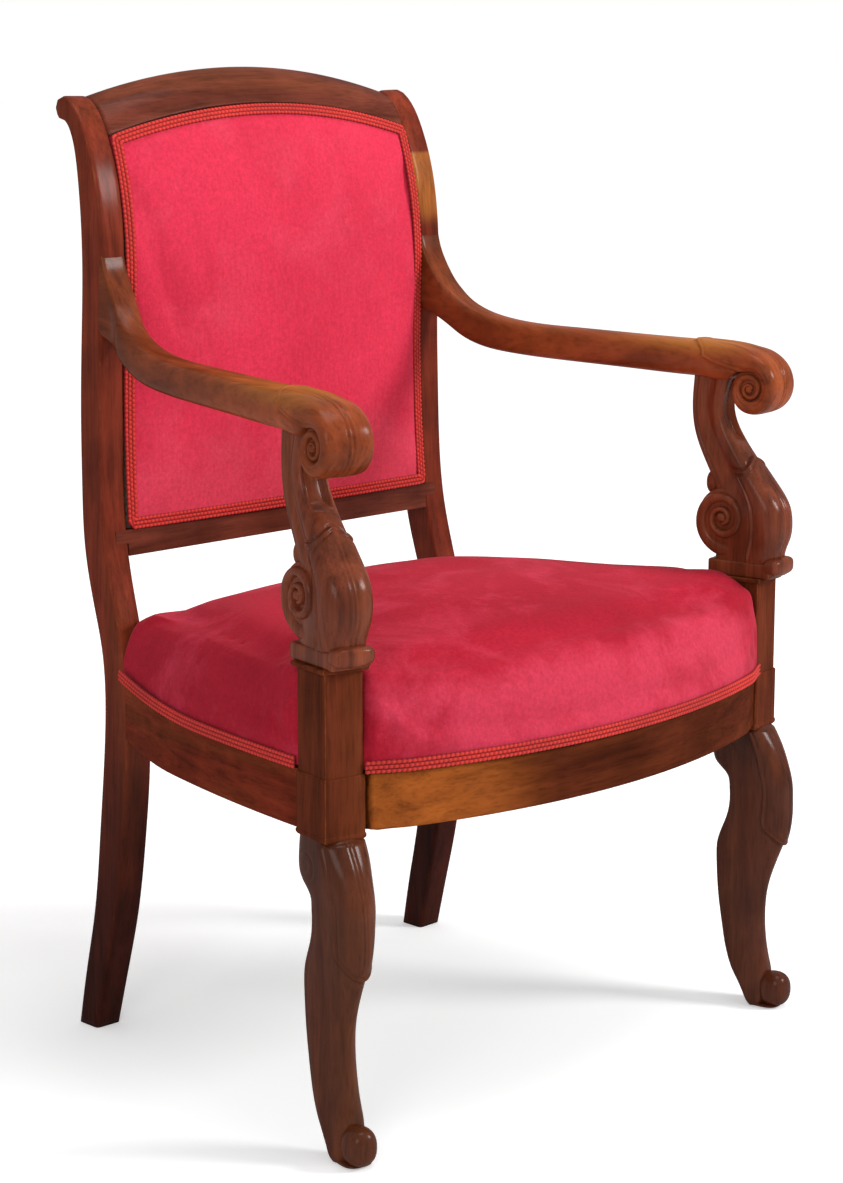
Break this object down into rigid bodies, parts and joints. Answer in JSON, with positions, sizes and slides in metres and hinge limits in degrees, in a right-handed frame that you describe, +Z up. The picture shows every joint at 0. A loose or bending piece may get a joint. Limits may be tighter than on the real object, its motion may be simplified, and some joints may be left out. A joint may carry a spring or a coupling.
{
  "type": "armchair",
  "caption": "Open armchair with a carved scroll-arm wooden frame, bowed seat rail, sabre rear legs and velvet sprung seat and padded back edged with braid.",
  "frame": {"origin": "centre of the chair's footprint box, on the floor", "axes": "+Z up, the front faces -Y, +X is the right-hand side seen from the front"},
  "size_m": [0.6288, 0.533, 0.9327],
  "materials": {
    "show_wood": "satin polish",
    "frame_wood": "matte",
    "velvet": "short pile",
    "braid": "looped woven",
    "webbing": "coarse woven",
    "canvas": "woven",
    "stuffing": "loose fibre",
    "steel": "dull"
  },
  "bodies": {
    "root": {"rear_leg_left": "show_wood", "rear_leg_right": "show_wood", "front_leg_left": "show_wood", "front_leg_right": "show_wood", "arm_console_left": "show_wood", "arm_console_right": "show_wood", "armrest_left": "show_wood", "armrest_right": "show_wood", "crest_rail": "show_wood", "front_seat_rail": "show_wood", "lower_back_rail": "frame_wood", "side_seat_rail_left": "frame_wood", "side_seat_rail_right": "frame_wood", "rear_seat_rail": "frame_wood", "corner_blocks": "frame_wood", "arm_dowels": "frame_wood", "console_dowels": "frame_wood", "seat_cover": "velvet", "back_cover": "velvet", "outside_back_cover": "velvet", "seat_braid_front": "braid", "seat_braid_left": "braid", "seat_braid_right": "braid", "seat_braid_rear": "braid", "back_braid": "braid", "outside_back_braid": "braid", "seat_webbing_long": "webbing", "seat_webbing_cross": "webbing", "back_webbing_upright": "webbing", "back_webbing_cross": "webbing", "spring_canvas": "canvas", "back_canvas": "canvas", "dust_cover": "canvas", "seat_stuffing": "stuffing", "back_stuffing": "stuffing", "block_screws": "steel", "seat_springs": "steel"}
  },
  "joints": []
}
